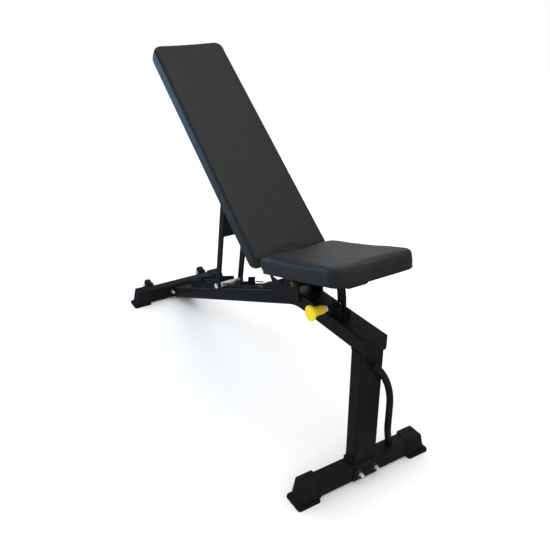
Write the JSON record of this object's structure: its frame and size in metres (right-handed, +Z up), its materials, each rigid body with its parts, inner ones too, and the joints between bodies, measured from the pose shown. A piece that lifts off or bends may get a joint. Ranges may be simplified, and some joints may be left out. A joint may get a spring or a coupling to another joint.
{
  "type": "adjustable weight bench",
  "caption": "Adjustable weight bench with a sloping spine, hinged backrest on a strut and toothed ladder, tilting seat with pull pin, lifting handle and transport wheels.",
  "frame": {"origin": "on the floor, at the middle of the bench's overall length and of its width", "axes": "+X from the transport wheels to the seat end, +Y to the left of a user who sits on the seat, +Z up"},
  "size_m": [1.26, 0.406, 0.9541],
  "materials": {
    "frame_paint": "satin black powder coat",
    "rubber_black": "matt moulded rubber",
    "bright_zinc": "bright zinc plating",
    "chrome_rod": "polished chrome",
    "yellow_zinc": "yellow zinc plating",
    "black_plastic": "fine grained",
    "knob_yellow": "lightly textured",
    "pad_leather": "smooth coated upholstery",
    "pad_board": "black stained board",
    "spring_steel": "drawn wire"
  },
  "bodies": {
    "frame": {"front_crossbar": "frame_paint", "rear_crossbar": "frame_paint", "front_foot_caps": "rubber_black", "rear_foot_caps": "rubber_black", "main_beam": "frame_paint", "beam_end_plug": "black_plastic", "beam_end_plate": "frame_paint", "front_post": "frame_paint", "front_saddle": "frame_paint", "lift_handle": "frame_paint", "ladder_plates": "frame_paint", "upright_plates": "frame_paint", "leg_guide": "frame_paint", "front_frame_bolts": "bright_zinc", "front_frame_nuts": "bright_zinc", "rear_frame_bolts": "bright_zinc", "rear_frame_nuts": "bright_zinc", "frame_washers": "bright_zinc", "wheel_brackets": "frame_paint", "wheel_axle_bolts": "bright_zinc", "wheel_axle_nuts": "bright_zinc", "seat_pivot_bolt": "yellow_zinc", "seat_pivot_nut": "yellow_zinc", "backrest_pivot_bolt": "yellow_zinc", "backrest_pivot_nut": "yellow_zinc", "pin_barrel": "frame_paint", "pin_collar": "bright_zinc", "pin_spring": "spring_steel"},
    "backrest": {"backrest_pivot_bushes": "black_plastic", "backrest_hinge_sleeve": "frame_paint", "backrest_rail": "frame_paint", "backrest_rail_plugs": "black_plastic", "backrest_mount_plates": "frame_paint", "back_board": "pad_board", "back_pad": "pad_leather", "back_screws": "bright_zinc", "strut_hinge_bolt": "bright_zinc", "strut_hinge_nut": "bright_zinc", "strut_spacers": "bright_zinc"},
    "strut": {"strut_bars": "frame_paint", "strut_cross_plate": "frame_paint", "strut_rod": "chrome_rod"},
    "seat": {"seat_pivot_bushes": "black_plastic", "seat_hinge_sleeve": "frame_paint", "seat_rail": "frame_paint", "seat_rail_plugs": "black_plastic", "seat_mount_plates": "frame_paint", "seat_board": "pad_board", "seat_pad": "pad_leather", "seat_screws": "bright_zinc", "seat_leg": "frame_paint"},
    "pop_pin": {"pull_pin": "bright_zinc", "pull_knob": "knob_yellow"},
    "left_wheel_body": {"left_wheel": "black_plastic"},
    "right_wheel_body": {"right_wheel": "black_plastic"}
  },
  "joints": [
    {"name": "backrest_tilt", "type": "hinge", "parent": "frame", "child": "backrest", "pos_m": [0.195, 0, 0.45], "axis": [0, 1, 0], "range_deg": [0, 52.6]},
    {"name": "strut_swing", "type": "hinge", "parent": "backrest", "child": "strut", "pos_m": [-0.0296, 0, 0.6385], "axis": [0, 1, 0], "range_deg": [-53, 0]},
    {"name": "seat_tilt", "type": "hinge", "parent": "frame", "child": "seat", "pos_m": [0.333, 0, 0.4393], "axis": [0, 1, 0], "range_deg": [0, 16.5]},
    {"name": "pull_pin_slide", "type": "slide", "parent": "frame", "child": "pop_pin", "axis": [0, 1, 0], "range_m": [-0.002, 0.0075], "stiffness_N_per_m": 400, "springref_m": 0.0075},
    {"name": "left_wheel_spin", "type": "hinge", "parent": "frame", "child": "left_wheel_body", "pos_m": [-0.6085, 0.1115, 0.045], "axis": [0, 1, 0], "continuous": true},
    {"name": "right_wheel_spin", "type": "hinge", "parent": "frame", "child": "right_wheel_body", "pos_m": [-0.6085, -0.1115, 0.045], "axis": [0, 1, 0], "continuous": true}
  ],
  "couplings": [
    {"joint": "strut_swing", "follows": "backrest_tilt", "ratio": -1.0067}
  ]
}
